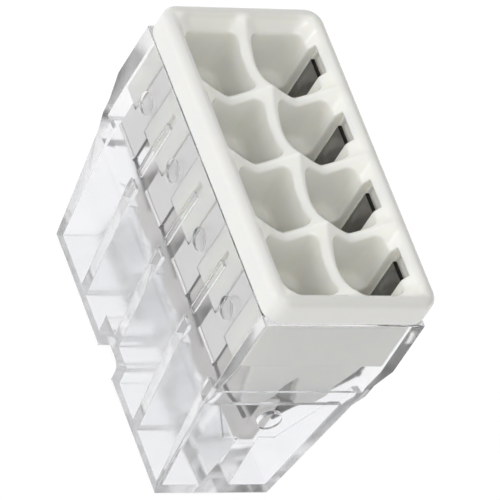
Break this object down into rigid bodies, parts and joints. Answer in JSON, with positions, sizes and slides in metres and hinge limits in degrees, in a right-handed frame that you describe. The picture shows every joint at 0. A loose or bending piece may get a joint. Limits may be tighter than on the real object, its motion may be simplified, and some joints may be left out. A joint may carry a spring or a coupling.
{
  "type": "push-in wire connector",
  "caption": "Push-in splice connector with a clear tapered housing, an ivory cover with two rows of funnel ports, leaf springs and a shared bus bar.",
  "frame": {"origin": "centre of the rear face, which the connector stands on", "axes": "+Z out of the entry face, against the direction in which wires go in; +X along a row of ports; +Y across the two rows"},
  "size_m": [0.0176, 0.0088, 0.016],
  "materials": {
    "clear": "clear moulded polycarbonate",
    "ivory": "moulded, soft gloss",
    "tinned": "matt tinned copper",
    "spring_steel": "rolled strip"
  },
  "bodies": {
    "base": {"clear_housing": "clear", "entry_cover": "ivory", "bus_bar": "tinned", "spring_leg_l1": "spring_steel", "spring_leg_l2": "spring_steel", "spring_leg_l3": "spring_steel", "spring_leg_l4": "spring_steel", "spring_leg_r1": "spring_steel", "spring_leg_r2": "spring_steel", "spring_leg_r3": "spring_steel", "spring_leg_r4": "spring_steel"},
    "leaf_l1": {"clamp_leaf_l1": "spring_steel"},
    "leaf_l2": {"clamp_leaf_l2": "spring_steel"},
    "leaf_l3": {"clamp_leaf_l3": "spring_steel"},
    "leaf_l4": {"clamp_leaf_l4": "spring_steel"},
    "leaf_r1": {"clamp_leaf_r1": "spring_steel"},
    "leaf_r2": {"clamp_leaf_r2": "spring_steel"},
    "leaf_r3": {"clamp_leaf_r3": "spring_steel"},
    "leaf_r4": {"clamp_leaf_r4": "spring_steel"}
  },
  "joints": [
    {"name": "leaf_l1_flex", "type": "hinge", "parent": "base", "child": "leaf_l1", "pos_m": [-0.006, -0.00371, 0.0092], "axis": [-1, 0, 0], "range_deg": [0, 24], "stiffness_Nm_per_rad": 0.2},
    {"name": "leaf_l2_flex", "type": "hinge", "parent": "base", "child": "leaf_l2", "pos_m": [-0.002, -0.00371, 0.0092], "axis": [-1, 0, 0], "range_deg": [0, 24], "stiffness_Nm_per_rad": 0.2},
    {"name": "leaf_l3_flex", "type": "hinge", "parent": "base", "child": "leaf_l3", "pos_m": [0.002, -0.00371, 0.0092], "axis": [-1, 0, 0], "range_deg": [0, 24], "stiffness_Nm_per_rad": 0.2},
    {"name": "leaf_l4_flex", "type": "hinge", "parent": "base", "child": "leaf_l4", "pos_m": [0.006, -0.00371, 0.0092], "axis": [-1, 0, 0], "range_deg": [0, 24], "stiffness_Nm_per_rad": 0.2},
    {"name": "leaf_r1_flex", "type": "hinge", "parent": "base", "child": "leaf_r1", "pos_m": [-0.006, 0.00371, 0.0092], "axis": [1, 0, 0], "range_deg": [0, 24], "stiffness_Nm_per_rad": 0.2},
    {"name": "leaf_r2_flex", "type": "hinge", "parent": "base", "child": "leaf_r2", "pos_m": [-0.002, 0.00371, 0.0092], "axis": [1, 0, 0], "range_deg": [0, 24], "stiffness_Nm_per_rad": 0.2},
    {"name": "leaf_r3_flex", "type": "hinge", "parent": "base", "child": "leaf_r3", "pos_m": [0.002, 0.00371, 0.0092], "axis": [1, 0, 0], "range_deg": [0, 24], "stiffness_Nm_per_rad": 0.2},
    {"name": "leaf_r4_flex", "type": "hinge", "parent": "base", "child": "leaf_r4", "pos_m": [0.006, 0.00371, 0.0092], "axis": [1, 0, 0], "range_deg": [0, 24], "stiffness_Nm_per_rad": 0.2}
  ]
}
